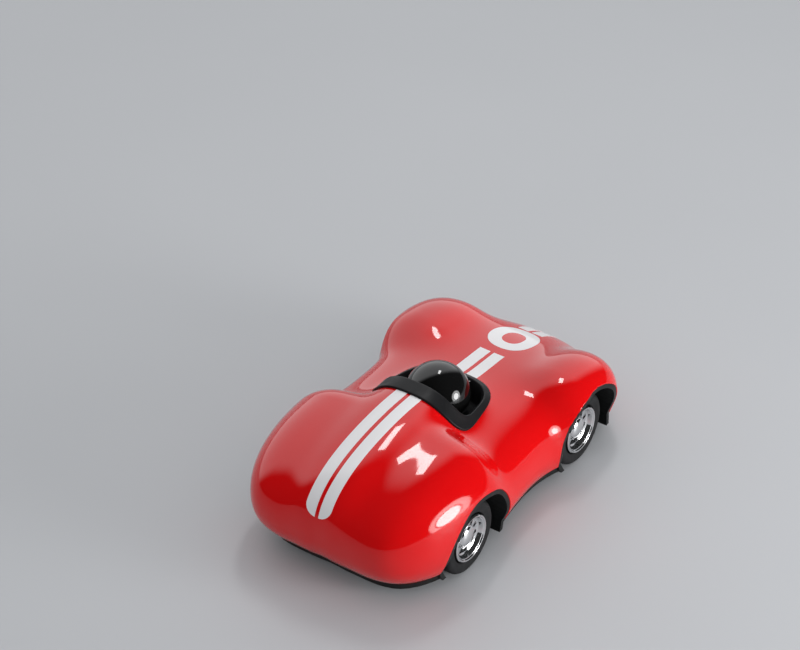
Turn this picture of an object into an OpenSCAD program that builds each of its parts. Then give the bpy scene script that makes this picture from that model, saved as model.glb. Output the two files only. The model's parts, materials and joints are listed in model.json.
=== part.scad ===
// Pull back racing car: pressed-together toy with a glossy body shell, a black base and
// open cockpit, four tyred wheels on two steel axles, and a clockwork motor on the rear axle.
// X points forward, Y to the car's left and Z up. The origin is on the ground, below the
// middle of the car's length and on its centre plane. All sizes are in millimetres.

/* [Running gear] */
// Distance between the front and rear axles
wheelbase = 69; // [66:0.5:72]
// Outside diameter of the tyres
tyre_d = 27; // [26:0.5:28]
// Distance between the outer faces of the left and right wheels
track = 75; // [74:0.5:76]
// Width of each tyre
tyre_w = 9.4; // [8.5:0.1:9.8]
// Diameter of the chromed wheel trim
trim_d = 17.5; // [16.5:0.5:18]
// Number of slots in the wheel trim
trim_slots = 10; // [6:1:12]
// Diameter of the steel axles
axle_d = 2; // [1.8:0.1:2.2]

/* [Body] */
// Height of the fairing behind the driver's head, measured from the middle of its form
fairing_rise = 21; // [20.6:0.2:21.4]
// Height of the humps over the front wheels, measured the same way
fender_rise = 14.7; // [14.3:0.2:15.1]
// Height of the tail, measured the same way
tail_rise = 15.8; // [15.4:0.2:16.2]
// Half the width of the tail between the haunches
tail_half_w = 26.7; // [26.1:0.2:27.3]
// Wall thickness of the body shell
shell_t = 1.6; // [1.4:0.1:2]
// Height of the seam between the body shell and the base
sill_z = 7.4; // [7:0.1:8]
// Ground clearance under the base
clearance = 4; // [3.5:0.1:4.5]
// Radius of the wheel arch openings
arch_r = 18.4; // [18.2:0.1:18.8]
// Distance of each arch's centre ahead of its axle
arch_lead = 2.5; // [2:0.1:2.6]

/* [Cockpit] */
// Half the length of the cockpit opening
cockpit_half_l = 14.2; // [14:0.1:14.4]
// Half the width of the cockpit opening, in the middle
cockpit_half_w = 16.1; // [15.9:0.1:16.3]
// Height of the cockpit floor
cockpit_floor_z = 28; // [28:0.1:29]
// Diameter of the driver's helmet
helmet_d = 23; // [21:0.5:23.5]

/* [Clockwork] */
// Gear module
gear_m = 0.55; // [0.55:0.01:0.56]
// Teeth on each large gear
big_teeth = 30; // [30:1:30]
// Teeth on each pinion
small_teeth = 12; // [12:1:12]
// Coils of the mainspring
spring_coils = 7; // [5:1:8]

/* [Hidden] */

mid_x = -1.2;               // middle of the wheelbase; the nose overhangs more than the tail
front_x = mid_x + wheelbase/2;
rear_x = mid_x - wheelbase/2;
axle_z = tyre_d/2;
arch_z = axle_z - 1.5;      // height of the arches' centres
axle_r = axle_d/2;
hub_y = track/2;
run = 0.05;                 // radial clearance of every running fit
grip = 0.02;                // radial interference of every press fit
far = 60;                   // beyond the car on every side, for cuts that go right through

// ---------------------------------------------------------------- body form
// The body is a smooth union of lumps. Each lump is a superellipsoid:
// [centre x, y, z, reach back, reach forward, half width, half height, exponent].
tail = [rear_x + 7.3, 0, 10.8, 21.8, 40, tail_half_w, tail_rise, 2.8];
haunch = [rear_x + 4.3, 21.2, 22, 38.8, 14.5, 18.2, 20.2, 2.2];
fairing = [mid_x - 13.7, 0, 24.7, 51.9, 22.5, 15.1, fairing_rise, 2.75];
bonnet = [front_x - 2.8, 0, 7.6, 40.5, 37.7, 26.7, 16.8, 2.5];
fender = [front_x + 0.6, 28.8, 19.4, 13.2, 22.7, 14.3, fender_rise, 2.15];
middle = [mid_x + 0.9, 0, 18.4, 39.7, 49.8, 33.3, 13.4, 2.85];
rear_skirt = [rear_x + 11.1, 0, 8.7, 17, 21.9, 26.8, 14.7, 2.6];
front_skirt = [front_x + 0.8, 0, -2, 21.3, 32, 33.7, 12.8, 2.5];
function other_side(l) = [l[0], -l[1], l[2], l[3], l[4], l[5], l[6], l[7]];
lumps = [tail, haunch, other_side(haunch), fairing, bonnet, fender, other_side(fender),
         middle, rear_skirt, front_skirt];
blend = 4.6;                // how sharply the lumps meet; lower is softer

function lump_sum(p, l) =
    pow(abs(p[0] - l[0])/(p[0] < l[0] ? l[3] : l[4]), l[7])
    + pow(abs(p[1] - l[1])/l[5], l[7]) + pow(abs(p[2] - l[2])/l[6], l[7]);
function add(v) = v*[for (i = v) 1];
// Above 1 inside the body, below 1 outside it and 1 on its skin
function inside(p) = add([for (l = lumps) pow(max(lump_sum(p, l), 1e-6), -blend/l[7])]);
function bisect(o, d, lo, hi, n) =
    n == 0 ? o + d*(lo + hi)/2
    : inside(o + d*(lo + hi)/2) > 1 ? bisect(o, d, (lo + hi)/2, hi, n - 1)
    : bisect(o, d, lo, (lo + hi)/2, n - 1);
// First stride along the ray that leaves the body, so that a hollow isn't jumped over
stride = 3;
halvings = 14;
function march(o, d, s) = inside(o + d*s) < 1 ? s : march(o, d, s + stride);
function skin_hit(o, d) = let (s = march(o, d, stride)) bisect(o, d, s - stride, s, halvings);
function top_z(x, y) = skin_hit([x, y, sill_z], [0, 0, 1])[2];
function unit(v) = v/norm(v);
function outward(p) = let (e = 0.05, f = inside(p)) unit([f - inside(p + [e, 0, 0]),
    f - inside(p + [0, e, 0]), f - inside(p + [0, 0, e])]);

// Outline of the cockpit opening, pushed outward by g
cockpit_x = mid_x - 0.8;
cockpit_taper = 0.01;       // how fast the opening narrows towards the front, per millimetre
cockpit_n = 3.6;            // 2 would be an ellipse; higher is squarer
function power(c, n) = sign(c)*pow(abs(c), 2/n);
function opening(a, g = 0) =
    let (x = (cockpit_half_l + g)*power(cos(a), cockpit_n))
    [cockpit_x + x, (cockpit_half_w + g)*(1 - cockpit_taper*x)*power(sin(a), cockpit_n)];

// Rings of points from the sill (t = 0) up to the cockpit opening (t = 1)
around = 96;
rings = 20;
spine = 26;                 // half length of the line the sill rays start from
spine_x = mid_x + 2;
function body_point(a, t) =
    let (o = opening(a), w = t*t*(3 - 2*t), c = cos(90*t),
         start = [(1 - w)*(spine*cos(a) + spine_x) + w*o[0], w*o[1], sill_z])
    skin_hit(start, [c*cos(a), c*sin(a), sin(90*t)]);
function ring(t) = [for (i = [0:around - 1]) body_point(360*i/around, t)];
function level(v) = unit([v[0], v[1], 0]);
// The wall's inner face runs level below the sill's edge and plumb below the opening's edge
function inner_ring(k) = [for (p = ring(k/(rings - 1)))
    p - shell_t*(k == 0 ? level(outward(p)) : k == rings - 1 ? [0, 0, 1] : outward(p))];

// Quads between ring k and ring k + 1, each ring having n points
function band(k, n) = [for (i = [0:n - 1]) [k*n + i, (k + 1)*n + i,
    (k + 1)*n + (i + 1) % n, k*n + (i + 1) % n]];
function flatten(v) = [for (a = v) for (b = a) b];
function split(f) = flatten([for (q = f) [[q[0], q[1], q[2]], [q[0], q[2], q[3]]]]);

// ---------------------------------------------------------------- helpers
// A cylinder lying along Y from y0 to y1
module rod(x, z, r, y0, y1) {
    translate([x, y0, z]) rotate([-90, 0, 0]) cylinder(r = r, h = y1 - y0, $fn = 48);
}

// A profile of [radius, y] points turned about an axle at x
module turned(x, profile) {
    translate([x, 0, axle_z]) rotate([-90, 0, 0]) rotate_extrude($fn = 64) polygon(profile);
}

module on_side(side) {
    if (side > 0) children();
    else mirror([0, 1, 0]) children();
}

// ---------------------------------------------------------------- body shell
screw_x = 55;
screw_y = 11;
screw_spots = [for (x = [-screw_x, screw_x]) for (y = [-screw_y, screw_y]) [mid_x + x, y]];
boss_r = 2.8;
base_screw_r = 1.1;
pilot_h = 9.2;
// Level halfway into the wall above a screw boss, at the lowest place round its rim
function boss_top(s) = min([for (a = [0:45:315])
    top_z(s[0] + boss_r*cos(a), s[1] + boss_r*sin(a))]) - shell_t/2;

module skin() {
    outer = [for (k = [0:rings - 1]) ring(k/(rings - 1))];
    inner = [for (k = [rings - 1:-1:0]) inner_ring(k)];
    faces = concat(flatten([for (k = [0:2*rings - 2]) band(k, around)]),
        [for (i = [0:around - 1]) [(2*rings - 1)*around + i, i,
            (i + 1) % around, (2*rings - 1)*around + (i + 1) % around]]);
    polyhedron(points = concat(flatten(outer), flatten(inner)), faces = split(faces));
}

module body_shell() {
    color([0.84, 0.04, 0.03])
    difference() {
        union() {
            skin();
            for (s = screw_spots) translate([s[0], s[1], floor_top])
                cylinder(r = boss_r, h = boss_top(s) - floor_top, $fn = 32);
        }
        for (s = screw_spots) translate([s[0], s[1], floor_top - 1])
            cylinder(r = base_screw_r - grip, h = pilot_h, $fn = 32);
        for (x = [rear_x, front_x]) for (side = [-1, 1]) on_side(side)
            rod(x + arch_lead, arch_z, arch_r, well_y, far);
    }
}

// ---------------------------------------------------------------- base
floor_t = 2;
floor_top = clearance + floor_t;
well_y = 25.2;              // inner wall of each wheel well
well_t = 1.4;
liner_t = 1.7;
liner_r = arch_r - 0.15;
liner_low = -32;            // angle below the axle where each liner starts, past the base
liner_steps = 42;
liner_sink = 0.25;          // how far the liner's edge sits inside the edge of the arch
rim_in = 1.4;               // how far the base sits in from the body's skin
rim_t = 1.8;
web_boss_r = 3.2;
web_y = 20;
cradle = [23.5, 1.6, 8];    // size of each wall beside the motor
cradle_x = rear_x - 1.5;
cradle_y = 9.1;
rear_hole_r = axle_r + 0.6; // the motor carries the rear axle, so it only passes through here
head_r = 2.1;
head_h = 0.8;
head_sink = 1;
screw_l = 8.6;
base_around = 120;
sill_points = [for (i = [0:base_around - 1]) body_point(360*i/base_around, 0)];
// Outline of the body at the sill, moved inward by g
function sill_line(g) = [for (p = sill_points) let (q = p - g*level(outward(p))) [q[0], q[1]]];

// Distance of the arch's edge from the centre plane, at an angle about the arch's centre
function arch_y(x, a) =
    skin_hit([x + arch_r*cos(a), well_y, max(arch_z + arch_r*sin(a), sill_z)], [0, 1, 0])[1];

// A band round the top of the arch at x, from inside the well's wall out to the arch's edge. Its
// faces stay clear of the round surfaces of the well by facet_gap.
facet_gap = 0.05;
module arch_liner(x) {
    r1 = liner_r - facet_gap;
    r0 = liner_r - liner_t + facet_gap;
    y0 = well_y - well_t/2;
    function spot(r, a, y) = [x + r*cos(a), y, arch_z + r*sin(a)];
    loops = [for (k = [0:liner_steps]) let (a = liner_low + (180 - 2*liner_low)*k/liner_steps,
        y1 = arch_y(x, a) - liner_sink) [spot(r1, a, y0), spot(r1, a, y1), spot(r0, a, y1),
        spot(r0, a, y0)]];
    last = 4*liner_steps;
    polyhedron(points = flatten(loops), faces = concat(
        split(flatten([for (k = [0:liner_steps - 1]) band(k, 4)])),
        [[0, 1, 2], [0, 2, 3], [last + 2, last + 1, last], [last + 3, last + 2, last]]));
}

module well(x) {
    intersection() {
        union() {
            rod(x, arch_z, liner_r, well_y - well_t, well_y);
            arch_liner(x);
        }
        translate([x - far/2, 0, clearance]) cube([far, far, far]);
    }
}

module base_tray() {
    difference() {
        translate([0, 0, clearance])
            linear_extrude(sill_z - clearance) polygon(sill_line(rim_in));
        translate([0, 0, floor_top])
            linear_extrude(far) polygon(sill_line(rim_in + rim_t));
    }
}

module chassis() {
    color([0.05, 0.05, 0.055])
    difference() {
        union() {
            base_tray();
            for (side = [-1, 1]) on_side(side) {
                well(rear_x + arch_lead);
                well(front_x + arch_lead);
                rod(front_x, axle_z, web_boss_r, web_y, well_y);
                translate([cradle_x, cradle_y, floor_top - 1]) cube(cradle);
            }
        }
        for (x = [rear_x, front_x]) for (side = [-1, 1]) on_side(side)
            rod(x + arch_lead, arch_z, liner_r - liner_t, well_y, far);
        rod(front_x, axle_z, axle_r + run, -well_y - 1, well_y + 1);
        rod(rear_x, axle_z, rear_hole_r, -well_y - 1, well_y + 1);
        for (s = screw_spots) translate([s[0], s[1], 0]) {
            cylinder(r = base_screw_r + 0.2, h = floor_top + 1, $fn = 32);
            cylinder(r = head_r + 0.2, h = clearance + head_sink, $fn = 32);
        }
    }
}

module base_screws() {
    color([0.7, 0.7, 0.72])
    for (s = screw_spots) translate([s[0], s[1], clearance + head_sink - head_h]) difference() {
        union() {
            cylinder(r = head_r, h = head_h, $fn = 32);
            cylinder(r = base_screw_r, h = screw_l, $fn = 32);
        }
        for (a = [0, 90]) rotate([0, 0, a]) translate([-1.3, -0.25, -0.4]) cube([2.6, 0.5, 1]);
    }
}

// ---------------------------------------------------------------- cockpit
lip_out = 2;
lip_under = 0.5;            // space between the lip and the curved skin below it
lip_h = 1.05;
lip_crown = 0.4;
tub_gap = 0.4;
tub_t = 1;
helmet_x = mid_x;
helmet_z = 36;
peg_r = 2.5;
peg_l = 3;
neck_r = 6;

module cockpit_surround() {
    function lip(g, dz) = [for (i = [0:around - 1]) let (o = opening(360*i/around, g))
        [o[0], o[1], top_z(o[0], o[1]) + dz]];
    function flat(g, z) = [for (i = [0:around - 1]) let (o = opening(360*i/around, g))
        [o[0], o[1], z]];
    loops = [flat(-tub_gap, cockpit_floor_z - tub_t), lip(-tub_gap, lip_under),
        lip(lip_out/2, lip_under), lip(lip_out, lip_under), lip(lip_out, lip_h),
        lip(-tub_gap, lip_h + lip_crown), lip(-tub_gap - tub_t, 0),
        flat(-tub_gap - tub_t, cockpit_floor_z)];
    n = len(loops);
    bottom = n*around;
    top = bottom + 1;
    faces = concat(split(flatten([for (k = [0:n - 2]) band(k, around)])),
        [for (i = [0:around - 1]) [bottom, i, (i + 1) % around]],
        [for (i = [0:around - 1]) [top, (n - 1)*around + (i + 1) % around, (n - 1)*around + i]]);
    color([0.12, 0.12, 0.125])
    difference() {
        polyhedron(points = concat(flatten(loops), [[cockpit_x, 0, cockpit_floor_z - tub_t],
            [cockpit_x, 0, cockpit_floor_z]]), faces = faces);
        translate([helmet_x, 0, cockpit_floor_z - 5]) cylinder(r = peg_r - grip, h = 10, $fn = 32);
    }
}

module driver_helmet() {
    color([0.02, 0.02, 0.025])
    union() {
        difference() {
            translate([helmet_x, 0, helmet_z]) sphere(d = helmet_d, $fn = 96);
            translate([helmet_x - far, -far, helmet_z - 5 - far]) cube([2*far, 2*far, far]);
        }
        translate([helmet_x, 0, cockpit_floor_z])
            cylinder(r = neck_r, h = helmet_z - cockpit_floor_z, $fn = 48);
        translate([helmet_x, 0, cockpit_floor_z - peg_l])
            cylinder(r = peg_r, h = peg_l + 1, $fn = 32);
    }
}

// ---------------------------------------------------------------- clockwork motor
big_r = gear_m*big_teeth/2;
small_r = gear_m*small_teeth/2;
centres = big_r + small_r;
idler_angle = 55;
spring_angle = -35;
idler_x = rear_x + centres*cos(idler_angle);
idler_z = axle_z + centres*sin(idler_angle);
spring_x = idler_x + centres*cos(spring_angle);
spring_z = idler_z + centres*sin(spring_angle);
tip = 0.8*gear_m;
root = 1.15*gear_m;
case_half = 9;
case_wall = 1.4;
room = 0.45;                // space around each gear inside the case
barrel_r = 8.4;
spindle_r = 0.75;
journal_r = 1.2;
arbor_r = 1.7;
case_screw_r = 0.9;
case_screws = [[rear_x - 4.2, 8], [spring_x + 9.1, 7.9]];
drive_y = 2;                // start of the plane of the axle gear and the large idler gear
drive_w = 2.6;
wind_y = -1.2;              // start of the plane of the idler pinion and the spring gear
cavity_y = [-1.8, 7.3];     // sides of the space round the gears
barrel_y = -7.5;            // far side of the space round the mainspring
hub_y1 = 6.9;               // where the gears' hubs end
hub_y0 = -1.4;              // where the axle gear's hub starts
axle_hub_r = 2.2;
idler_hub_r = 2;
face_sink = 0.2;            // how far a pinion starts inside the gear beside it
pin_sink = 0.4;             // how far the pins' holes stay inside the case's outer faces
case_head_r = 1.7;
case_screw_y = -6;          // where the case screws end

// Involute tooth flank: angle from the tooth's middle to its side at radius r
pressure = 25;
function inv(a) = tan(a)*180/PI - a;
function flank(r, n, slack) =
    let (rp = gear_m*n/2, rb = rp*cos(pressure),
         half = 90/n - slack/(2*rp)*180/PI)
    half + inv(pressure) - (r > rb ? inv(acos(rb/r)) : 0);
function gear_outline(n, slack) =
    let (rp = gear_m*n/2, r0 = rp - root, r1 = rp + tip, steps = 4,
         rs = [for (k = [0:steps]) r0 + (r1 - r0)*k/steps])
    [for (t = [0:n - 1]) for (k = [0:2*steps + 1])
        let (r = k <= steps ? rs[k] : rs[2*steps + 1 - k],
             a = 360*t/n + (k <= steps ? -1 : 1)*flank(r, n, slack))
        [r*cos(a), r*sin(a)]];
slack = 0.09;

// A gear lying in the XZ plane, its width running along +Y from y0, turned by phase
module gear(n, y0, w, phase) {
    translate([0, y0 + w, 0]) rotate([90, 0, 0]) linear_extrude(w)
        rotate(phase) polygon(gear_outline(n, slack));
}

module at_axis(x, z) {
    translate([x, 0, z]) children();
}

// Phases that put a tooth of one gear into a gap of the next at rest
idler_phase = idler_angle + 180 + 180/big_teeth;
pinion_phase = spring_angle;
spring_phase = spring_angle + 180 + 180/big_teeth;

module axle_gear() {
    color([0.86, 0.84, 0.78])
    at_axis(rear_x, axle_z) difference() {
        union() {
            gear(small_teeth, drive_y - face_sink, drive_w + 2*face_sink, idler_angle);
            rod(0, 0, axle_hub_r, hub_y0, hub_y1);
        }
        rod(0, 0, axle_r - grip, -far, far);
    }
}

module idler_gear() {
    color([0.86, 0.84, 0.78])
    at_axis(idler_x, idler_z) difference() {
        union() {
            gear(big_teeth, drive_y, drive_w, idler_phase);
            gear(small_teeth, wind_y - face_sink, drive_y - wind_y + face_sink, pinion_phase);
            rod(0, 0, idler_hub_r, drive_y, hub_y1);
        }
        rod(0, 0, spindle_r + run, -far, far);
    }
}

module idler_spindle() {
    color([0.75, 0.75, 0.77])
    rod(idler_x, idler_z, spindle_r, pin_sink - case_half, case_half - pin_sink);
}

module spring_gear() {
    color([0.86, 0.84, 0.78])
    at_axis(spring_x, spring_z) union() {
        gear(big_teeth, wind_y, drive_w, spring_phase);
        rod(0, 0, arbor_r, barrel_y + 0.2, hub_y1);
        rod(0, 0, journal_r, pin_sink + 0.1 - case_half, case_half - pin_sink - 0.1);
    }
}

spring_y = -7;
spring_w = 4.8;
strip = 0.28;
spring_in = arbor_r;
spring_out = 7.9;
module mainspring() {
    turns = spring_coils;
    last = 24*turns;
    function coil(i, s) = let (f = i/last, r = spring_in - 0.1 + (spring_out - spring_in)*f + s)
        [r*cos(360*turns*f), r*sin(360*turns*f)];
    ribbon = concat([for (i = [0:last]) coil(i, 0)], [for (i = [last:-1:0]) coil(i, strip)]);
    color([0.45, 0.46, 0.5])
    at_axis(spring_x, spring_z) translate([0, spring_y + spring_w, 0])
        rotate([90, 0, 0]) linear_extrude(spring_w) polygon(ribbon);
}

case_outline = [[rear_x - 6, floor_top], [spring_x + 10.5, floor_top],
    [spring_x + 10.5, 20.5], [spring_x + 4.4, 26], [spring_x - 3, 33.6], [rear_x - 1.5, 33.6],
    [rear_x - 6, 25]];

module case_block(y0, y1) {
    translate([0, y1, 0]) rotate([90, 0, 0]) linear_extrude(y1 - y0) polygon(case_outline);
}

module case_cavities() {
    rod(rear_x, axle_z, small_r + tip + room, cavity_y[0], cavity_y[1]);
    rod(idler_x, idler_z, big_r + tip + room, cavity_y[0], cavity_y[1]);
    rod(spring_x, spring_z, big_r + tip + room, cavity_y[0], cavity_y[1]);
    rod(spring_x, spring_z, barrel_r, barrel_y, cavity_y[0] + 0.1);
    rod(rear_x, axle_z, axle_r + run, -far, far);
    rod(idler_x, idler_z, spindle_r - grip, pin_sink - case_half, case_half - pin_sink);
    rod(spring_x, spring_z, journal_r + run, pin_sink - case_half, case_half - pin_sink);
}

module motor_case_left() {
    color([0.93, 0.93, 0.9])
    difference() {
        case_block(0, case_half);
        case_cavities();
        for (s = case_screws) rod(s[0], s[1], case_screw_r + 0.1, -1, case_half + 1);
    }
}

module motor_case_right() {
    color([0.93, 0.93, 0.9])
    difference() {
        case_block(-case_half, 0);
        case_cavities();
        for (s = case_screws) rod(s[0], s[1], case_screw_r - grip, case_screw_y - 0.5, 1);
    }
}

module motor_screws() {
    color([0.7, 0.7, 0.72])
    for (s = case_screws) difference() {
        union() {
            rod(s[0], s[1], case_screw_r, case_screw_y, case_half + 0.2);
            rod(s[0], s[1], case_head_r, case_half, case_half + 1);
        }
        translate([s[0] - 1.2, case_half + 0.5, s[1] - 0.2]) cube([2.4, 1, 0.4]);
    }
}

// ---------------------------------------------------------------- axles and wheels
axle_half = 33.4;
module rear_axle() {
    color([0.75, 0.75, 0.77]) rod(rear_x, axle_z, axle_r, -axle_half, axle_half);
}
module front_axle() {
    color([0.75, 0.75, 0.77]) rod(front_x, axle_z, axle_r, -axle_half, axle_half);
}

rim_r = 9.2;
tyre_r = tyre_d/2;
tyre_in = hub_y - 0.4 - tyre_w;
dish = 3.2;                 // depth of the trim's dish below its lip
wheel_face = hub_y - dish;

module tyre(x, side) {
    crown = 1.6;
    out = hub_y - 0.4;
    color([0.07, 0.07, 0.07])
    on_side(side) turned(x, [[rim_r, tyre_in + 0.4], [tyre_r - crown, tyre_in],
        [tyre_r - 0.45, tyre_in + 0.5], [tyre_r, tyre_in + crown], [tyre_r, out - crown],
        [tyre_r - 0.45, out - 0.5], [tyre_r - crown, out], [rim_r + 0.5, out - 0.2],
        [rim_r, out - 0.8]]);
}

wheel_hub_r = 2.6;
module wheel(x, side) {
    color([0.08, 0.08, 0.085])
    on_side(side) difference() {
        union() {
            rod(x, axle_z, rim_r, tyre_in + 0.4, wheel_face);
            rod(x, axle_z, wheel_hub_r, well_y + 0.4, wheel_face);
        }
        rod(x, axle_z, axle_r - grip, 0, axle_half + 0.1);
        difference() {
            rod(x, axle_z, rim_r - 1.4, tyre_in, wheel_face - 2);
            rod(x, axle_z, wheel_hub_r, tyre_in - 1, wheel_face);
        }
    }
}

slot_in = 4.3;
slot_out = 6.3;
slot_w = 1.1;
module trim(x, side) {
    trim_r = trim_d/2;
    color([0.85, 0.86, 0.87])
    on_side(side) difference() {
        turned(x, [[0, wheel_face], [trim_r, wheel_face], [trim_r, hub_y - 0.35],
            [trim_r - 0.35, hub_y], [trim_r - 0.8, hub_y], [trim_r - 1.3, hub_y - 0.5],
            [slot_out + 0.3, wheel_face + 1.1], [slot_out, wheel_face + 0.8],
            [slot_in, wheel_face + 0.9], [slot_in - 0.5, wheel_face + 1.6],
            [slot_in/2, wheel_face + 2.3], [0, wheel_face + 2.5]]);
        for (i = [0:trim_slots - 1]) translate([x, 0, axle_z]) rotate([0, 360*i/trim_slots, 0])
            translate([slot_in + 0.1, wheel_face - 1, -slot_w/2])
                cube([slot_out - slot_in, dish, slot_w]);
    }
}

module tyre_front_left() { tyre(front_x, 1); }
module tyre_front_right() { tyre(front_x, -1); }
module tyre_rear_left() { tyre(rear_x, 1); }
module tyre_rear_right() { tyre(rear_x, -1); }
module wheel_front_left() { wheel(front_x, 1); }
module wheel_front_right() { wheel(front_x, -1); }
module wheel_rear_left() { wheel(rear_x, 1); }
module wheel_rear_right() { wheel(rear_x, -1); }
module trim_front_left() { trim(front_x, 1); }
module trim_front_right() { trim(front_x, -1); }
module trim_rear_left() { trim(rear_x, 1); }
module trim_rear_right() { trim(rear_x, -1); }

body_shell();
chassis();
cockpit_surround();
driver_helmet();
motor_case_left();
motor_case_right();
motor_screws();
idler_spindle();
idler_gear();
spring_gear();
mainspring();
axle_gear();
rear_axle();
front_axle();
tyre_front_left();
tyre_front_right();
tyre_rear_left();
tyre_rear_right();
wheel_front_left();
wheel_front_right();
wheel_rear_left();
wheel_rear_right();
trim_front_left();
trim_front_right();
trim_rear_left();
trim_rear_right();
base_screws();
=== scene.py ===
"""Looks of the pull back racing car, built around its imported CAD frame.

Shapes are worked out in millimetres in the car's own frame: X forward, Y to its left, Z up,
with the ground at 0. They are written to Blender in metres.
"""
import json
import math

import bmesh
import bpy
import numpy as np
from mathutils import Matrix, Vector


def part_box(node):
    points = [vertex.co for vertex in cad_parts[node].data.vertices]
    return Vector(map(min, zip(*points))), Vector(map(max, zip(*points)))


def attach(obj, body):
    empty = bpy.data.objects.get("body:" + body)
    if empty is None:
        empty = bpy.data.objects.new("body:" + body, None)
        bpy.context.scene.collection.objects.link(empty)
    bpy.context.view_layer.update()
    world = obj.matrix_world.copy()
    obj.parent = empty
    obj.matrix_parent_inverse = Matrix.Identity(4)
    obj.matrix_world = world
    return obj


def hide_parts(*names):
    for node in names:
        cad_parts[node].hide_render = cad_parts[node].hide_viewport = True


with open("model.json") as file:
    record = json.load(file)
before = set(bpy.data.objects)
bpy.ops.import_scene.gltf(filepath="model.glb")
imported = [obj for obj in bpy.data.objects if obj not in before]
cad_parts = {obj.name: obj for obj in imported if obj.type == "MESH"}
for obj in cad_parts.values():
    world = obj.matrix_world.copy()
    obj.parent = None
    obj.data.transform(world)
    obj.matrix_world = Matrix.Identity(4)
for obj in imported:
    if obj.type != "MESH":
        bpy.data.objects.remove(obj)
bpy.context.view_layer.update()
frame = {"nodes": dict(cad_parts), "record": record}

MM = 0.001
UP = np.array([0.0, 0.0, 1.0])


# ------------------------------------------------------------------ places from the frame
def box(node):
    """Lowest and highest corners of a CAD node, in millimetres."""
    low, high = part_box(node)
    return np.array(low) / MM, np.array(high) / MM


def centre(node):
    low, high = box(node)
    return (low + high) / 2


rear_x, _, axle_z = centre("rear_axle")
front_x = centre("front_axle")[0]
mid_x = (rear_x + front_x) / 2
sill_z = 7.4                # the seam between the body shell and the base
hub_y = box("trim_front_left")[1][1]
tyre_r = (box("tyre_front_left")[1][2] - box("tyre_front_left")[0][2]) / 2
tyre_in = box("tyre_front_left")[0][1]
tyre_out = box("tyre_front_left")[1][1]
trim_r = (box("trim_front_left")[1][2] - box("trim_front_left")[0][2]) / 2
trim_back = box("trim_front_left")[0][1]
tub_floor = box("cockpit_surround")[0][2] + 1

# ------------------------------------------------------------------ body form
# Each lump is a superellipsoid: centre x, y, z, reach back, reach forward, half width,
# half height, exponent. The skin is the smooth union of them all, as in the CAD source.
# The lumps' numbers weren't chosen as a design. They are the rounded result of a least-squares
# fit that another program made to points read off the photo, and so are the numbers of the
# cockpit opening, the wheel arches and the camera below. BLEND was set for that fit.
TAIL = (rear_x + 7.3, 0, 10.8, 21.8, 40, 26.7, 15.8, 2.8)
HAUNCH = (rear_x + 4.3, 21.2, 22, 38.8, 14.5, 18.2, 20.2, 2.2)
FAIRING = (mid_x - 13.7, 0, 24.7, 51.9, 22.5, 15.1, 21, 2.75)
BONNET = (front_x - 2.8, 0, 7.6, 40.5, 37.7, 26.7, 16.8, 2.5)
FENDER = (front_x + 0.6, 28.8, 19.4, 13.2, 22.7, 14.3, 14.7, 2.15)
MIDDLE = (mid_x + 0.9, 0, 18.4, 39.7, 49.8, 33.3, 13.4, 2.85)
REAR_SKIRT = (rear_x + 11.1, 0, 8.7, 17, 21.9, 26.8, 14.7, 2.6)
FRONT_SKIRT = (front_x + 0.8, 0, -2, 21.3, 32, 33.7, 12.8, 2.5)


def other_side(lump):
    return (lump[0], -lump[1]) + tuple(lump[2:])


LUMPS = (TAIL, HAUNCH, other_side(HAUNCH), FAIRING, BONNET, FENDER, other_side(FENDER),
         MIDDLE, REAR_SKIRT, FRONT_SKIRT)
BLEND = 4.6


def form(p):
    """Above 1 inside the body, below 1 outside it and 1 on its skin; and its gradient."""
    total, slope = np.zeros(p.shape[:-1]), np.zeros(p.shape)
    for x, y, z, back, ahead, half_w, half_h, n in LUMPS:
        off = p - (x, y, z)
        reach = np.stack([np.where(off[..., 0] < 0, back, ahead),
                          np.full(total.shape, half_w), np.full(total.shape, half_h)], -1)
        share = np.abs(off) / reach
        u = np.maximum((share ** n).sum(-1), 1e-6)
        total += u ** (-BLEND / n)
        fade = -BLEND / n * u ** (-BLEND / n - 1)
        slope += fade[..., None] * n * share ** (n - 1) * np.sign(off) / reach
    return total, slope


def inside(p):
    return form(p)[0]


def unit(v):
    return v / np.linalg.norm(v, axis=-1, keepdims=True)


def outward(p):
    return -unit(form(p)[1])


def settle(p, rounds=3, level=False):
    """Moves points that are close to the skin onto it, without changing height if level."""
    for _ in range(rounds):
        value, slope = form(p)
        if level:
            slope = slope * (1, 1, 0)
        p = p - ((value - 1) / (slope * slope).sum(-1))[..., None] * slope
    return p


def skin_hit(start, way):
    """Where rays from inside the body first leave it."""
    stride = 1.5
    reach = np.full(start.shape[:-1], stride)
    out = np.zeros(reach.shape, bool)
    while not out.all():
        out |= inside(start + way * reach[..., None]) < 1
        reach = np.where(out, reach, reach + stride)
    low, high = reach - stride, reach
    for _ in range(26):
        half = (low + high) / 2
        within = inside(start + way * half[..., None]) > 1
        low, high = np.where(within, half, low), np.where(within, high, half)
    return start + way * low[..., None]


def top_point(x, y):
    start = np.stack([x, y, np.full(np.shape(x), sill_z)], -1)
    return skin_hit(start, np.broadcast_to(UP, start.shape))


# ------------------------------------------------------------------ cockpit opening
COCKPIT_X = mid_x - 0.8
COCKPIT_HALF_L = 14.2
COCKPIT_HALF_W = 16.1
COCKPIT_TAPER = 0.01
COCKPIT_N = 3.6


def opening(a, g=0.0):
    """Outline of the cockpit opening at angle a, pushed outward by g."""
    c, s = np.cos(a), np.sin(a)
    x = (COCKPIT_HALF_L + g) * np.sign(c) * np.abs(c) ** (2 / COCKPIT_N)
    y = (COCKPIT_HALF_W + g) * (1 - COCKPIT_TAPER * x) * np.sign(s) * np.abs(s) ** (2 / COCKPIT_N)
    return COCKPIT_X + x, y


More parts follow.
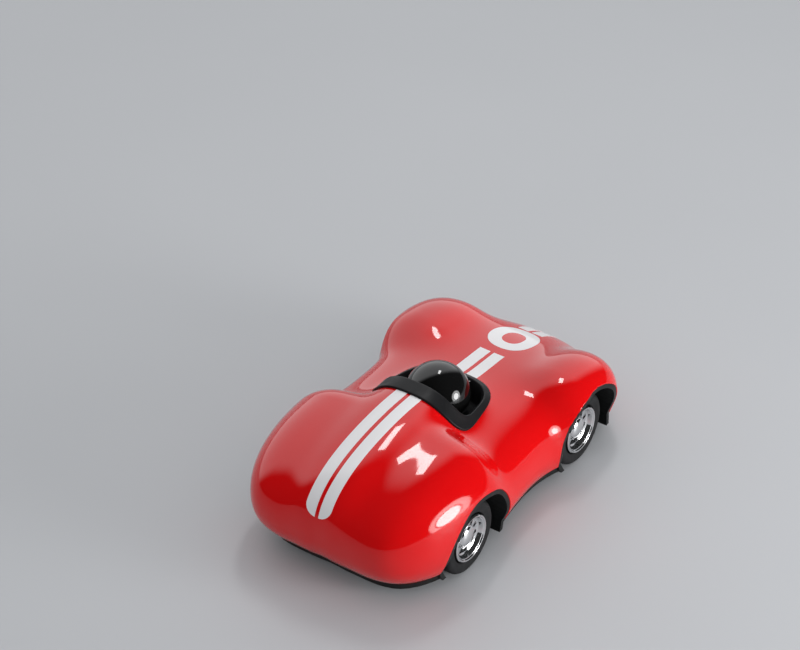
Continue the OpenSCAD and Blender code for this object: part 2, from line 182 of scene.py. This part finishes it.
# ------------------------------------------------------------------ mesh building
class Shape:
    """Points and faces in millimetres, with a normal for every corner where they are given."""

    def __init__(self):
        self.points, self.faces, self.normals = [], [], []

    def add(self, points):
        first = len(self.points)
        self.points.extend(np.asarray(points, float).reshape(-1, 3))
        return np.arange(first, len(self.points))

    def face(self, corners, normals=()):
        self.faces.append([int(c) for c in corners])
        self.normals.extend(normals)

    def strip(self, row_a, row_b, normals_a=None, normals_b=None, closed=True):
        """Quads between two rows of points; the second row lies to the left of the first."""
        n = len(row_a)
        for i in range(n if closed else n - 1):
            j = (i + 1) % n
            normals = ()
            if normals_a is not None:
                normals = (normals_a[i], normals_a[j], normals_b[j], normals_b[i])
            self.face((row_a[i], row_a[j], row_b[j], row_b[i]), normals)

    def build(self, name, body, slot, replaces=()):
        used = sorted({c for f in self.faces for c in f})
        place = {c: i for i, c in enumerate(used)}
        mesh = bpy.data.meshes.new(name)
        mesh.from_pydata([tuple(self.points[c] * MM) for c in used], [],
                         [[place[c] for c in f] for f in self.faces])
        mesh.polygons.foreach_set("use_smooth", [True] * len(mesh.polygons))
        mesh.materials.append(MATERIALS[slot])
        mesh.update()
        if self.normals:
            mesh.normals_split_custom_set([tuple(n) for n in self.normals])
        piece = bpy.data.objects.new(name, mesh)
        bpy.context.scene.collection.objects.link(piece)
        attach(piece, body)
        if replaces:
            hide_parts(*replaces)
        return piece


def arc(x, y, r, start, end, steps):
    """Points along an arc from one angle to another, in degrees."""
    angles = np.radians(np.linspace(start, end, steps + 1))
    return [(x + r * math.cos(a), y + r * math.sin(a)) for a in angles]


def smooth_by_angle(piece, degrees):
    mesh = piece.data
    mesh.polygons.foreach_set("use_smooth", [True] * len(mesh.polygons))
    mesh.set_sharp_from_angle(angle=math.radians(degrees))


# ------------------------------------------------------------------ materials
def material(name):
    """A new node material, with its shader, and the object coordinates for its patterns."""
    m = bpy.data.materials.new(name)
    m.use_nodes = True
    nodes, links = m.node_tree.nodes, m.node_tree.links
    shader = nodes["Principled BSDF"]
    place = nodes.new("ShaderNodeTexCoord").outputs["Object"]
    return m, nodes, links, shader, place


def noise(nodes, links, place, scale, detail=3.0, rough=0.5):
    n = nodes.new("ShaderNodeTexNoise")
    n.inputs["Scale"].default_value = scale
    n.inputs["Detail"].default_value = detail
    n.inputs["Roughness"].default_value = rough
    links.new(place, n.inputs["Vector"])
    return n.outputs["Fac"]


def spread(nodes, links, value, low, high, target):
    """Maps a 0 to 1 pattern onto a range and plugs it into target."""
    n = nodes.new("ShaderNodeMapRange")
    n.inputs["To Min"].default_value = low
    n.inputs["To Max"].default_value = high
    n.inputs["From Min"].default_value = 0.3
    n.inputs["From Max"].default_value = 0.7
    links.new(value, n.inputs["Value"])
    links.new(n.outputs["Result"], target)


def tint(nodes, links, value, dark, light, target):
    """Mixes two colours by a pattern and plugs the result into target."""
    n = nodes.new("ShaderNodeMix")
    n.data_type = "RGBA"
    n.inputs["A"].default_value = (*dark, 1)
    n.inputs["B"].default_value = (*light, 1)
    links.new(value, n.inputs["Factor"])
    links.new(n.outputs["Result"], target)


def bump(nodes, links, value, depth_mm, target, strength=1.0):
    n = nodes.new("ShaderNodeBump")
    n.inputs["Distance"].default_value = depth_mm * MM
    n.inputs["Strength"].default_value = strength
    links.new(value, n.inputs["Height"])
    links.new(n.outputs["Normal"], target)


def plastic(name, dark, light, rough, grain_mm, grain_depth, shine=0.5):
    """Moulded plastic or paint: faint mottling, uneven gloss and a fine skin texture."""
    m, nodes, links, shader, place = material(name)
    cloud = noise(nodes, links, place, 60)
    tint(nodes, links, cloud, dark, light, shader.inputs["Base Color"])
    spread(nodes, links, noise(nodes, links, place, 220), rough * 0.8, rough * 1.2,
           shader.inputs["Roughness"])
    fine = noise(nodes, links, place, 1 / (grain_mm * MM), 2.0)
    bump(nodes, links, fine, grain_depth, shader.inputs["Normal"])
    shader.inputs["Specular IOR Level"].default_value = shine
    shader.inputs["IOR"].default_value = 1.5
    return m


def metal(name, dark, light, rough, brush_scale):
    m, nodes, links, shader, place = material(name)
    shader.inputs["Metallic"].default_value = 1.0
    tint(nodes, links, noise(nodes, links, place, 90), dark, light,
         shader.inputs["Base Color"])
    lines = noise(nodes, links, place, brush_scale, 4.0, 0.6)
    spread(nodes, links, lines, rough * 0.7, rough * 1.4, shader.inputs["Roughness"])
    bump(nodes, links, lines, 0.003, shader.inputs["Normal"])
    return m


MATERIALS = {
    "body_paint": plastic("body_paint", (0.62, 0.002, 0.003), (0.68, 0.004, 0.005), 0.06,
                          9.0, 0.012),
    "stripe_print": plastic("stripe_print", (0.80, 0.78, 0.79), (0.86, 0.85, 0.86), 0.1,
                            9.0, 0.01),
    "base_plastic": plastic("base_plastic", (0.008, 0.009, 0.009), (0.013, 0.014, 0.014),
                            0.45, 0.5, 0.01, 0.2),
    "cockpit_plastic": plastic("cockpit_plastic", (0.009, 0.009, 0.010),
                               (0.014, 0.014, 0.015), 0.42, 0.45, 0.012, 0.15),
    "helmet_gloss": plastic("helmet_gloss", (0.003, 0.003, 0.003), (0.006, 0.006, 0.006),
                            0.05, 8.0, 0.006),
    "motor_plastic": plastic("motor_plastic", (0.72, 0.70, 0.64), (0.80, 0.78, 0.73), 0.4,
                             0.6, 0.01),
    "gear_plastic": plastic("gear_plastic", (0.70, 0.67, 0.58), (0.78, 0.76, 0.68), 0.35,
                            0.6, 0.008),
    "wheel_plastic": plastic("wheel_plastic", (0.008, 0.008, 0.009), (0.014, 0.014, 0.015),
                             0.4, 0.5, 0.01, 0.2),
    "tyre_rubber": plastic("tyre_rubber", (0.010, 0.010, 0.011), (0.016, 0.016, 0.017),
                           0.62, 0.35, 0.02, 0.2),
    "trim_chrome": metal("trim_chrome", (0.80, 0.81, 0.82), (0.90, 0.90, 0.91), 0.07, 150),
    "axle_steel": metal("axle_steel", (0.50, 0.50, 0.52), (0.64, 0.64, 0.66), 0.25, 900),
    "screw_steel": metal("screw_steel", (0.48, 0.48, 0.50), (0.60, 0.60, 0.62), 0.3, 900),
    "spring_steel": metal("spring_steel", (0.22, 0.24, 0.28), (0.32, 0.34, 0.38), 0.3, 900),
}

# ------------------------------------------------------------------ body shell
ARCH_R = 18.4
ARCH_LEAD = 2.5             # the arches' centres sit ahead of and below the axles
ARCH_Z = axle_z - 1.5
WELL_Y = 25.2
SHELL_T = 1.6
EDGE_R = 0.3                # rounding of the shell's edges
SNAP = 0.22                 # points this close to an arch's edge are moved onto it
COLUMNS = 420               # points around the skin, and from the sill to the opening
ROWS = 97
RELAX_ROUNDS = 90
STAY = 0.2                  # how much of its own place a point keeps in each round
SPINE = 26                  # half length of the line that the sill rays start from


def arch_offset(p):
    """Vector from the centre line of the nearest arch to each point."""
    x = np.where(p[..., 0] < mid_x, rear_x, front_x) + ARCH_LEAD
    return np.stack([p[..., 0] - x, np.zeros(x.shape), p[..., 2] - ARCH_Z], -1)


def arch_gap(p):
    """Distance outside the edge of the nearest wheel arch; large away from the sides."""
    gap = np.linalg.norm(arch_offset(p), axis=-1) - (ARCH_R + EDGE_R)
    return np.where(np.abs(p[..., 1]) > WELL_Y, gap, 99.0)


def ray_grid():
    """Skin points [around, up] from the sill to the cockpit opening."""
    a = np.linspace(0, 2 * np.pi, COLUMNS // 2, endpoint=False)
    t = np.linspace(0, 1, (ROWS + 1) // 2)
    a, t = np.meshgrid(a, t, indexing="ij")
    w = t * t * (3 - 2 * t)
    x, y = opening(a)
    level = sill_z + EDGE_R
    start = np.stack([(1 - w) * (SPINE * np.cos(a) + mid_x + 2) + w * x, w * y,
                      np.full(a.shape, level)], -1)
    c, s = np.cos(np.pi / 2 * t), np.sin(np.pi / 2 * t)
    return skin_hit(start, np.stack([c * np.cos(a), c * np.sin(a), s], -1))


def relax(p):
    """Evens out the spacing of the grid, keeping its edges at the sill and the opening."""
    for _ in range(RELAX_ROUNDS):
        beside = (np.roll(p, 1, 0) + np.roll(p, -1, 0)) / 2
        core = (beside[:, 1:-1] + (p[:, 2:] + p[:, :-2]) / 2) / 2
        p[:, 1:-1] = settle(p[:, 1:-1] * STAY + core * (1 - STAY), 1)
        p[:, :1] = settle(p[:, :1] * STAY + beside[:, :1] * (1 - STAY), 1,
                           level=True)
    return p


def halve(p):
    """Doubles the grid in both directions."""
    columns, rows = p.shape[:2]
    fine = np.zeros((columns * 2, rows * 2 - 1, 3))
    fine[::2, ::2] = p
    fine[1::2, ::2] = (p + np.roll(p, -1, 0)) / 2
    fine[:, 1::2] = (fine[:, :-2:2] + fine[:, 2::2]) / 2
    fine[:, 1:-1] = settle(fine[:, 1:-1])
    fine[:, :1] = settle(fine[:, :1], level=True)
    return fine


def skin_grid():
    return halve(relax(ray_grid()))


def snap_to_arches(p):
    gap = arch_gap(p)
    near = np.abs(gap) < SNAP
    p[near] -= unit(arch_offset(p[near])) * gap[near][:, None]
    p[near] = settle(p[near])
    gap[near] = 0
    return p, gap


def clip_skin(p, gap):
    """Cuts the wheel arches out of the skin's quads. Returns points and faces."""
    points, faces, crossings = list(p), [], {}

    def crossing(a, b):
        key = (min(a, b), max(a, b))
        if key not in crossings:
            share = gap[key[0]] / (gap[key[0]] - gap[key[1]])
            points.append(p[key[0]] + share * (p[key[1]] - p[key[0]]))
            crossings[key] = len(points) - 1
        return crossings[key]

    for i in range(COLUMNS):
        for j in range(ROWS - 1):
            k = (i + 1) % COLUMNS
            quad = (i * ROWS + j, k * ROWS + j, k * ROWS + j + 1, i * ROWS + j + 1)
            keep = [gap[c] >= 0 for c in quad]
            if all(keep):
                faces.append(list(quad))
            elif any(keep):
                face = []
                for n in range(4):
                    here, after = quad[n], quad[(n + 1) % 4]
                    if gap[here] >= 0:
                        face.append(here)
                    if gap[here] * gap[after] < 0:
                        face.append(crossing(here, after))
                if len(face) > 2:
                    faces.append(face)
    made = settle(np.array(points[len(p):]))
    return np.concatenate([p, made]), faces


def boundary_loops(faces):
    """Closed loops of the edges that only one face uses, in that face's direction."""
    edges = {(f[i], f[(i + 1) % len(f)]) for f in faces for i in range(len(f))}
    after = {a: b for a, b in edges if (b, a) not in edges}
    loops = []
    while after:
        start, here = after.popitem()
        loop = [start]
        while here != start:
            loop.append(here)
            here = after.pop(here)
        loops.append(np.array(loop))
    return loops


def edge_way(p, n):
    """Direction in the skin from the shell's edge out into the arch or below the sill."""
    def in_skin(v):
        return unit(v - (v * n).sum(-1, keepdims=True) * n)
    to_axle = in_skin(-unit(arch_offset(p)))
    down = in_skin(np.broadcast_to(-UP, p.shape))
    on_arch = (np.abs(arch_gap(p)) < 0.03)[:, None]
    on_sill = (p[:, 2] < sill_z + EDGE_R + 0.03)[:, None]
    both = to_axle + down
    both = both / np.maximum((both * down).sum(-1, keepdims=True), 0.5)
    return np.where(on_arch & on_sill, both, np.where(on_arch, to_axle, down))


def body_shell():
    p, gap = snap_to_arches(skin_grid().reshape(-1, 3))
    p, faces = clip_skin(p, gap)
    n = outward(p)
    shape = Shape()
    outer = shape.add(p)
    inner = shape.add(p - SHELL_T * n)
    for f in faces:
        shape.face([outer[c] for c in f], [n[c] for c in f])
        shape.face([inner[c] for c in reversed(f)], [-n[c] for c in reversed(f)])
    for loop in boundary_loops(faces):
        edge, normal = p[loop], n[loop]
        back = loop[::-1]
        if edge[:, 2].min() > axle_z * 2:       # the cockpit opening, hidden by its surround
            shape.strip(outer[back], inner[back], n[back], -n[back])
            continue
        way = edge_way(edge, normal)
        row, row_normal = outer[loop][::-1], normal[::-1]
        for angle in np.radians([30, 60, 90]):
            spots = edge + EDGE_R * (math.sin(angle) * way - (1 - math.cos(angle)) * normal)
            turned = unit(math.cos(angle) * normal + math.sin(angle) * way)[::-1]
            made = shape.add(spots)[::-1]
            shape.strip(row, made, row_normal, turned)
            row, row_normal = made, turned
        made = shape.add(edge + EDGE_R * way - SHELL_T * normal)[::-1]
        shape.strip(row, made, row_normal, row_normal)
        shape.strip(made, inner[back], -n[back], -n[back])
    shape.build("body_shell_skin", "car_body", "body_paint", ["body_shell"])


# ------------------------------------------------------------------ printed marks
PRINT_UP = 0.05             # how far the print stands above the paint
PRINT_DOWN = 0.06           # and how far its underside sinks into it


def print_slab(name, p, closed=False):
    """A thin printed layer over a grid of skin points [along, across]."""
    turn = np.cross(p[0, 1] - p[0, 0], p[1, 0] - p[0, 0])
    if turn @ outward(p[0, 0]) < 0:
        p = p[:, ::-1]
    n = outward(p)
    shape = Shape()
    top = shape.add(p + PRINT_UP * n).reshape(p.shape[:2])
    low = shape.add(p - PRINT_DOWN * n).reshape(p.shape[:2])
    rows, cols = p.shape[:2]
    for i in range(rows if closed else rows - 1):
        j = (i + 1) % rows
        shape.strip(top[i], top[j], n[i], n[j], False)
        shape.strip(low[j], low[i], -n[j], -n[i], False)
    ends = [] if closed else [(0, 1), (rows - 1, -1)]
    for i, way in ends:
        a, b = (low[i], top[i]) if way > 0 else (top[i], low[i])
        out = unit(p[i] - p[i + way])
        shape.strip(a, b, out, out, False)
    for k, way in ((0, 1), (cols - 1, -1)):
        a, b = (top[:, k], low[:, k]) if way > 0 else (low[:, k], top[:, k])
        out = unit(p[:, k] - p[:, k + way])
        shape.strip(a, b, out, out, closed)
    shape.build(name, "car_body", "stripe_print")


def lengthwise(x0, y, angle):
    """Skin points hit by rays that lean back by an angle, in planes along the car."""
    y, angle = np.broadcast_arrays(y, angle)
    start = np.stack([np.full(y.shape, x0), y, np.full(y.shape, sill_z)], -1)
    return skin_hit(start, np.stack([-np.sin(angle), 0 * y, np.cos(angle)], -1))


def lean_at(x0, y, x):
    """The lean whose ray meets the skin at a given x."""
    angles = np.radians(np.linspace(-86, 86, 345))
    hits = lengthwise(x0, y, angles)[:, 0]
    over = slice(hits.argmax(), hits.argmin() + 1)
    return np.interp(-x, -hits[over], angles[over])


STRIPE_IN = 0.72            # edges of each stripe, from the car's centre plane
STRIPE_OUT = 5.05


def stripe(name, side, x0, x_start, x_end, round_end):
    """One long stripe; a rounded end has its outer corner taken off."""
    middle = side * (STRIPE_IN + STRIPE_OUT) / 2
    angles = np.linspace(lean_at(x0, middle, x_start), lean_at(x0, middle, x_end), 120)
    path = lengthwise(x0, middle, angles)
    along = np.append(0, np.cumsum(np.linalg.norm(np.diff(path, axis=0), axis=-1)))
    width = STRIPE_OUT - STRIPE_IN
    last = along[-1]
    if round_end:           # closer rows where the corner turns fastest
        bend = np.linspace(0, math.pi / 2, 24)
        rows = np.append(np.linspace(0, last - width, 90)[:-1],
                         last - width + width * np.sin(bend))
        angles = np.interp(rows, along, angles)
        past = np.clip(rows - (last - width), 0, width * 0.9995)
        reach = np.sqrt(width ** 2 - past ** 2)
    else:
        reach = np.full(angles.shape, width)
    across = np.linspace(0, 1, 9)
    y = side * (STRIPE_IN + across[None, :] * reach[:, None])
    grid = lengthwise(x0, y, angles[:, None])
    print_slab(name, grid)


def numeral_ring():
    """A plain numeral 0 on the bonnet, drawn as one even ring."""
    a = np.linspace(0, 2 * np.pi, 120, endpoint=False)[:, None]
    s = np.linspace(0, 1, 9)[None, :]
    half_l, half_w, stroke = 9.6, 8.6, 4.8
    middle_x = front_x + 13.6
    power = 2 / 2.3             # a little squarer than an ellipse
    c, d = np.cos(a), np.sin(a)
    x = middle_x + (half_l - stroke * s) * np.sign(c) * np.abs(c) ** power
    y = (half_w - stroke * s) * np.sign(d) * np.abs(d) ** power
    x, y = np.broadcast_arrays(x, y)
    print_slab("numeral_0", top_point(x, y), closed=True)


def printed_marks():
    """Two parallel stripes from tail to nose, broken by the cockpit and the numeral."""
    for side, word in ((1, "left"), (-1, "right")):
        stripe(f"tail_stripe_{word}", side, rear_x, mid_x - 14, mid_x - 70.6, True)
        stripe(f"bonnet_stripe_{word}", side, front_x, mid_x + 34.2, mid_x + 12, False)
        stripe(f"nose_stripe_{word}", side, front_x, mid_x + 58.7, mid_x + 70.5, True)
    numeral_ring()


# ------------------------------------------------------------------ cockpit
COAMING_OUT = 2.0           # how far the raised edge reaches outside the opening
COAMING_IN = 0.6            # and inside it, to which the rear adds COAMING_REAR_IN
COAMING_REAR_IN = 3.0
COAMING_H = 1.15            # height above the skin, to which the rear adds COAMING_REAR_H
COAMING_REAR_H = 0.75
OUTER_R = 0.35              # rounding of its outer and inner corners
INNER_R = 0.4
TUB_GAP = 0.4               # between the tub's wall and the edge of the opening


def coaming():
    """Raised edge of the cockpit, widest behind the driver, and the tub below it."""
    a = np.linspace(0, 2 * np.pi, 360, endpoint=False)
    rear = np.clip(-np.cos(a), 0, 1) ** 1.2
    inner = -COAMING_IN - COAMING_REAR_IN * rear
    ridge = COAMING_H + COAMING_REAR_H * rear
    outer = COAMING_OUT
    level = COAMING_H - 0.15

    def on_skin(g, h):
        p = top_point(*opening(a, g))
        return p + np.asarray(h * np.ones(a.shape))[:, None] * outward(p)

    def at_height(g, z):
        return np.stack([*opening(a, g), np.full(a.shape, z)], -1)

    rim = on_skin(-TUB_GAP, -0.3)
    rows = [at_height(-TUB_GAP, tub_floor - 1), np.minimum(rim, rim - [0, 0, 0.3]),
            on_skin(outer, -0.3)]
    rows += [on_skin(outer - OUTER_R + c, level - 0.45 + s)
             for c, s in arc(0, 0, OUTER_R, 0, 75, 5)]
    rows += [on_skin(outer - 0.9, level - 0.04), on_skin(inner + 0.9, ridge - 0.06)]
    rows += [on_skin(inner + INNER_R - c, ridge - INNER_R + s)
             for c, s in arc(0, 0, INNER_R, 90, 0, 5)]
    # down the inside of the tub, rounding into its floor
    rows += [on_skin(inner, -1.2), at_height(-1.4, tub_floor + 1.5),
             at_height(-1.9, tub_floor + 0.4), at_height(-2.4, tub_floor)]
    shape = Shape()
    made = [shape.add(r) for r in rows]
    for low, high in zip(made, made[1:]):
        shape.strip(low, high)
    shape.face(made[-1])
    shape.face(made[0][::-1])
    piece = shape.build("cockpit_coaming", "car_body", "cockpit_plastic",
                        ["cockpit_surround"])
    smooth_by_angle(piece, 50)


LATHE_STEPS = 144


def lathe(shape, profile, steps, place):
    """Turns a profile of (radius, height); a point on the axle closes the shape there."""
    a = np.linspace(0, 2 * np.pi, steps, endpoint=False)
    rows = []
    for r, h in profile:
        turns = a if r > 0 else a[:1]
        rows.append(shape.add(place(r * np.cos(turns), r * np.sin(turns), h)))
    for low, high in zip(rows, rows[1:]):
        if len(high) == 1:
            for i in range(steps):
                shape.face((low[i], low[(i + 1) % steps], high[0]))
        elif len(low) == 1:
            for i in range(steps):
                shape.face((low[0], high[(i + 1) % steps], high[i]))
        else:
            shape.strip(low, high)


def helmet():
    low, high = box("driver_helmet")
    r = (high[1] - low[1]) / 2
    x0, y0 = (low[0] + high[0]) / 2, (low[1] + high[1]) / 2
    zc = high[2] - r            # the middle of the dome
    neck_r, neck_low, rim_low = 6.0, -8.0, -6.6
    # the neck, the helmet's underside with a rolled rim, then the dome
    profile = [(0, neck_low), (neck_r, neck_low), (neck_r, rim_low), (8.4, rim_low + 0.2)]
    profile += arc(8.9, rim_low + 0.5, 0.5, -90, 30, 4) + arc(0, 0, r, -30, 89, 59)
    profile.append((0, r))
    shape = Shape()
    lathe(shape, profile, LATHE_STEPS,
          lambda x, y, h: np.stack([x0 + x, y0 + y, np.full(x.shape, zc + h)], -1))
    piece = shape.build("helmet_dome", "car_body", "helmet_gloss",
                        ["driver_helmet"])
    smooth_by_angle(piece, 40)


# ------------------------------------------------------------------ wheels
def wheel_place(x, side):
    """Puts a profile point (across, across, outward) on the wheel at x."""
    def place(u, v, h):
        y = np.full(u.shape, side * h)
        return np.stack([x + side * u, y, axle_z - v], -1)
    return place


def tyre(end, side, word):
    x = front_x if end == "front" else rear_x
    rim = 9.2
    crown = 1.7
    out, back = tyre_out, tyre_in
    profile = [(rim, out - 1.2), (rim, out - 0.75)]
    profile += arc(rim + 0.35, out - 0.75, 0.35, 180, 90, 4)
    profile += [(rim + 0.9, out - 0.42), (rim + 1.6, out - 0.12), (rim + 2.4, out - 0.02)]
    profile += arc(tyre_r - crown, out - crown, crown, 82, 4, 9)
    profile += [(tyre_r - 0.02, out - crown - 1.0), (tyre_r, (out + back) / 2),
                (tyre_r - 0.02, back + crown + 1.0)]
    profile += arc(tyre_r - crown, back + crown, crown, -4, -82, 9)
    profile += [(rim + 1.5, back + 0.1), (rim, back + 0.5), (rim, out - 1.2)]
    shape = Shape()
    lathe(shape, profile, LATHE_STEPS, wheel_place(x, side))
    piece = shape.build(f"tyre_rubber_{end}_{word}", f"{end}_wheels", "tyre_rubber",
                        [f"tyre_{end}_{word}"])
    tidy_mesh(piece)
    smooth_by_angle(piece, 50)


def tidy_mesh(piece):
    """Joins points that lie together and points all faces outward."""
    work = bmesh.new()
    work.from_mesh(piece.data)
    bmesh.ops.remove_doubles(work, verts=work.verts, dist=0.00001)
    bmesh.ops.recalc_face_normals(work, faces=work.faces)
    work.to_mesh(piece.data)
    work.free()


SLOTS = 10
SLOT_IN, SLOT_OUT, SLOT_HALF_W = 4.45, 6.3, 0.62
CAP_R, CAP_FOOT, CAP_RISE = 4.0, 0.9, 1.65


def trim_height(r, a):
    """Height of the trim's face above its back, in millimetres."""
    depth = hub_y - trim_back
    # pairs of radius and height: the slotted ring, the dish's wall and the rolled lip
    face = [(0, 0), (3.9, 0), (4.25, 0.9), (6.35, 0.8), (6.9, 1.15), (7.35, depth - 0.95),
            (7.5, depth - 0.6), (7.75, depth - 0.5), (8.0, depth - 0.08),
            (8.45, depth - 0.02), (trim_r, depth - 0.4)]
    cap = CAP_FOOT + CAP_RISE * np.sqrt(np.clip(1 - (r / CAP_R) ** 2, 0, 1))
    h = np.where(r < CAP_R, cap, np.interp(r, *zip(*face)))
    off = np.abs((a * SLOTS / (2 * np.pi)) % 1 - 0.5) * 2 * np.pi / SLOTS * r
    slot = (off < SLOT_HALF_W) & (r > SLOT_IN) & (r < SLOT_OUT)
    return np.where(slot, -0.6, h)


def trim(end, side, word):
    x = front_x if end == "front" else rear_x
    steps = 360
    a = np.linspace(0, 2 * np.pi, steps, endpoint=False)
    radii = np.concatenate([
        np.linspace(0.25, 3.7, 16), np.linspace(3.8, 4.3, 7), [4.42, 4.46],
        np.linspace(4.6, 6.2, 10), [6.28, 6.32], np.linspace(6.45, 7.5, 14),
        np.linspace(7.58, trim_r, 16)])
    place = wheel_place(x, side)
    shape = Shape()
    hub = shape.add(place(np.zeros(1), np.zeros(1), trim_back + trim_height(0.0, 0.0)))[0]
    rows = []
    for r in radii:
        h = trim_back + trim_height(np.full(steps, r), a)
        spots = place(r * np.cos(a), r * np.sin(a), 0)
        spots[:, 1] = side * h
        rows.append(shape.add(spots))
    for i in range(steps):
        shape.face((hub, rows[0][i], rows[0][(i + 1) % steps]))
    rows.append(shape.add(place(trim_r * np.cos(a), trim_r * np.sin(a), trim_back)))
    for low, high in zip(rows, rows[1:]):
        shape.strip(low, high)
    shape.face(rows[-1])
    piece = shape.build(f"trim_chrome_{end}_{word}", f"{end}_wheels", "trim_chrome",
                        [f"trim_{end}_{word}"])
    tidy_mesh(piece)
    smooth_by_angle(piece, 35)


def slot_floor(end, side, word):
    """Black disc of the wheel that shows through the slots of the trim."""
    x = front_x if end == "front" else rear_x
    shape = Shape()
    profile = [(4.2, trim_back - 0.3), (6.6, trim_back - 0.3), (6.6, trim_back + 0.05),
               (4.2, trim_back + 0.05), (4.2, trim_back - 0.3)]
    lathe(shape, profile, 96, wheel_place(x, side))
    piece = shape.build(f"slot_floor_{end}_{word}", f"{end}_wheels", "wheel_plastic")
    tidy_mesh(piece)
    smooth_by_angle(piece, 30)


def wheels():
    for end in ("front", "rear"):
        for side, word in ((1, "left"), (-1, "right")):
            tyre(end, side, word)
            trim(end, side, word)
            slot_floor(end, side, word)


# ------------------------------------------------------------------ carried-over CAD nodes
def dress_cad_nodes():
    """Gives every CAD node the material of its slot."""
    slots = {s["node"]: s["material_slot"] for s in frame["record"]["subparts"]}
    for name, node in frame["nodes"].items():
        node.data.materials.clear()
        node.data.materials.append(MATERIALS[slots[name]])


# ------------------------------------------------------------------ stage, lights, camera
def floor():
    size = 4.0
    mesh = bpy.data.meshes.new("floor")
    mesh.from_pydata([(-size, -size, 0), (size, -size, 0), (size, size, 0),
                      (-size, size, 0)], [], [(0, 1, 2, 3)])
    m, nodes, links, shader, place = material("floor_paint")
    tint(nodes, links, noise(nodes, links, place, 6), (0.52, 0.53, 0.55),
         (0.56, 0.57, 0.59), shader.inputs["Base Color"])
    shader.inputs["Roughness"].default_value = 0.55
    mesh.materials.append(m)
    piece = bpy.data.objects.new("floor", mesh)
    bpy.context.scene.collection.objects.link(piece)


def lamp(name, shape, size, power, at, aim, colour=(1, 1, 1)):
    data = bpy.data.lights.new(name, "AREA")
    data.shape = shape
    data.size = size[0] * MM
    if len(size) > 1:
        data.size_y = size[1] * MM
    data.energy = power
    data.color = colour
    piece = bpy.data.objects.new(name, data)
    bpy.context.scene.collection.objects.link(piece)
    place = Vector(at) * MM
    piece.location = place
    piece.rotation_euler = (Vector(aim) * MM - place).to_track_quat("-Z", "Y").to_euler()
    return piece


def ringed(piece):
    """Makes a round lamp bright in the middle, with a dark line and a dimmer ring round it."""
    piece.data.use_nodes = True
    nodes, links = piece.data.node_tree.nodes, piece.data.node_tree.links
    spot = nodes.new("ShaderNodeNewGeometry").outputs["Parametric"]
    middle = nodes.new("ShaderNodeVectorMath")
    middle.operation = "DISTANCE"
    middle.inputs[1].default_value = (0.5, 0.5, 0)
    links.new(spot, middle.inputs[0])
    ramp = nodes.new("ShaderNodeValToRGB")
    ramp.color_ramp.interpolation = "LINEAR"
    points = ramp.color_ramp.elements
    stops = [(0.0, 1.0), (0.27, 1.0), (0.285, 0.08), (0.31, 0.08), (0.325, 0.4),
             (0.46, 0.3), (0.5, 0.1)]
    for place, level in stops[2:]:
        points.new(place)
    for point, (place, level) in zip(points, stops):
        point.position = place
        point.color = (level, level, level, 1)
    links.new(middle.outputs["Value"], ramp.inputs["Fac"])
    links.new(ramp.outputs["Color"], nodes["Emission"].inputs["Color"])


EVEN_LIGHT = 0.63
REFLECTED_DARK = 0.03
REFLECTED_WALL = 1.5
WALL_WAY = (0.55, 0.75, 0.36)
WALL_EDGE = 0.5             # cosine of the angle where the wall's reflection fades out
WALL_CORE = 0.72


def lights():
    car = (mid_x, 0, 20)
    key = lamp("key", "DISK", (390,), 7.5, (mid_x + 125, -640, 110), car)
    ringed(key)
    # a small bright window above and ahead, which shows as a glint on the right flank
    lamp("window", "RECTANGLE", (62, 150), 0.45, (mid_x + 240, 96, 560), (mid_x - 40, -17, 43))
    studio = bpy.data.worlds.new("studio")
    bpy.context.scene.world = studio
    studio.use_nodes = True
    nodes, links = studio.node_tree.nodes, studio.node_tree.links
    # soft even light from all round, but reflections only of a bright wall ahead of the car
    way = nodes.new("ShaderNodeTexCoord").outputs["Generated"]
    dot = nodes.new("ShaderNodeVectorMath")
    dot.operation = "DOT_PRODUCT"
    dot.inputs[1].default_value = Vector(WALL_WAY).normalized()
    links.new(way, dot.inputs[0])
    wall = nodes.new("ShaderNodeMapRange")
    wall.interpolation_type = "SMOOTHSTEP"
    wall.inputs["From Min"].default_value = WALL_EDGE
    wall.inputs["From Max"].default_value = WALL_CORE
    wall.inputs["To Min"].default_value = REFLECTED_DARK
    wall.inputs["To Max"].default_value = REFLECTED_WALL
    links.new(dot.outputs["Value"], wall.inputs["Value"])
    ray = nodes.new("ShaderNodeLightPath")
    pick = nodes.new("ShaderNodeMix")
    pick.inputs["A"].default_value = EVEN_LIGHT
    links.new(ray.outputs["Is Glossy Ray"], pick.inputs["Factor"])
    links.new(wall.outputs["Result"], pick.inputs["B"])
    links.new(pick.outputs["Result"], nodes["Background"].inputs["Strength"])
    nodes["Background"].inputs["Color"].default_value = (0.97, 0.985, 1.0, 1)


def camera():
    data = bpy.data.cameras.new("camera")
    data.sensor_width = 36
    data.lens = 134
    data.clip_start = 0.05
    data.clip_end = 20
    piece = bpy.data.objects.new("camera", data)
    bpy.context.scene.collection.objects.link(piece)
    at = Vector((mid_x - 657.3, -448.4, 674.0)) * MM
    aim = Vector((mid_x + 48.3, 49.5, 13.5)) * MM
    roll = Matrix.Rotation(math.radians(-0.56), 4, "Z")
    turn = (aim - at).to_track_quat("-Z", "Y").to_matrix().to_4x4()
    piece.matrix_world = Matrix.Translation(at) @ turn @ roll
    bpy.context.scene.camera = piece
    bpy.context.scene.view_settings.view_transform = "Standard"


dress_cad_nodes()
body_shell()
printed_marks()
coaming()
helmet()
wheels()
floor()
lights()
camera()
